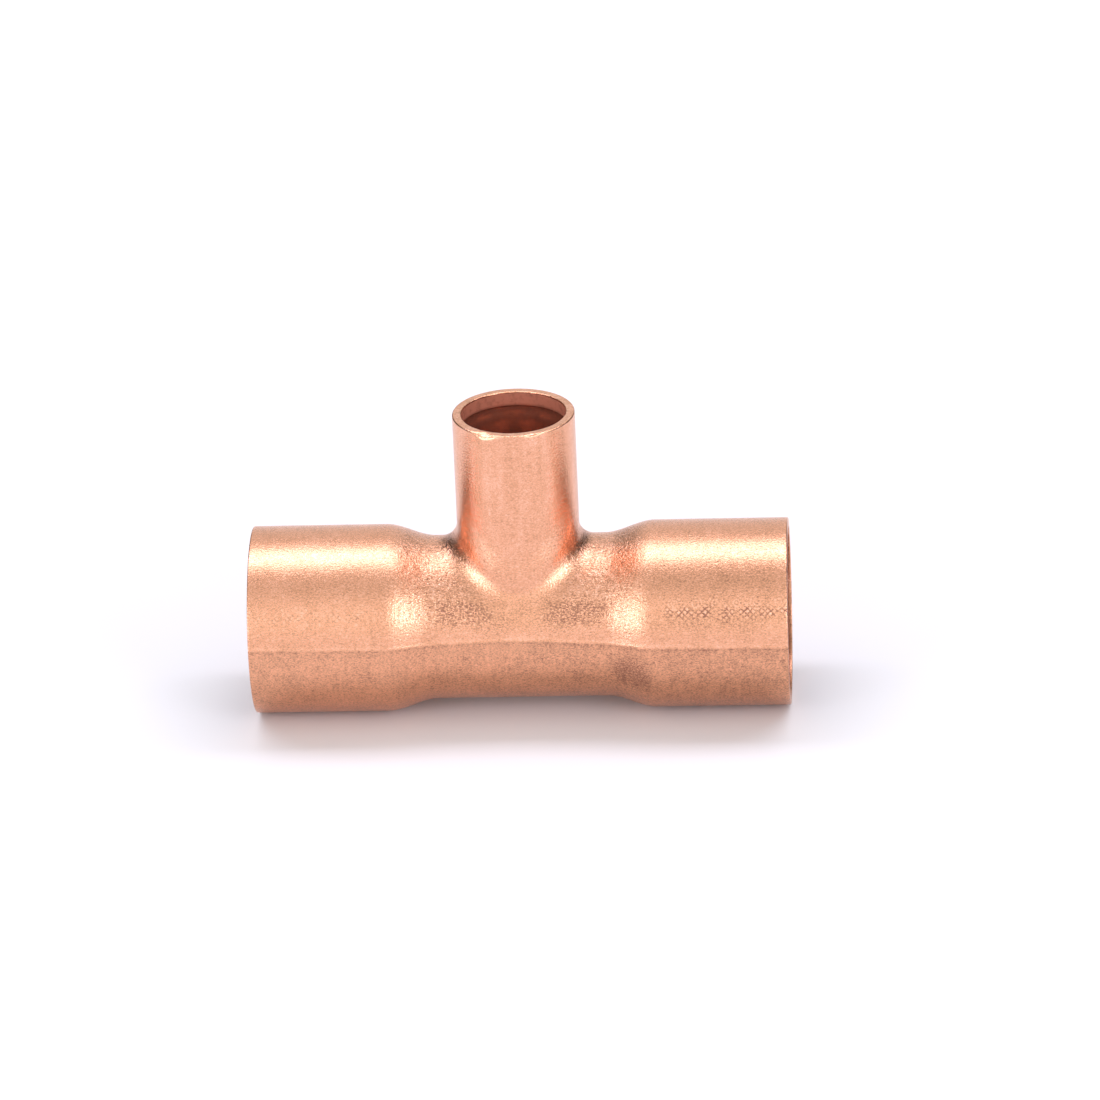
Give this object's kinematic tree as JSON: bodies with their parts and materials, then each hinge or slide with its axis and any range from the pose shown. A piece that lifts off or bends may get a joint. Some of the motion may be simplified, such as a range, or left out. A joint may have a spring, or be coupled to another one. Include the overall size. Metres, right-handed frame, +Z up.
{
  "type": "reducing tee fitting",
  "caption": "Formed copper tee for soldered tube: an equal socket at each end of a slightly waisted run, and a smaller branch socket drawn up out of its middle.",
  "frame": {"origin": "where the centre lines of the run and the branch cross, inside the waterway", "axes": "+X along the run, +Z up the branch and out of its mouth, +Y square to both"},
  "size_m": [0.0498, 0.0176, 0.0292],
  "materials": {
    "copper": "bare satin copper, tumbled and pickled to a fine grain"
  },
  "bodies": {
    "root": {"tee_body": "copper"}
  },
  "joints": []
}
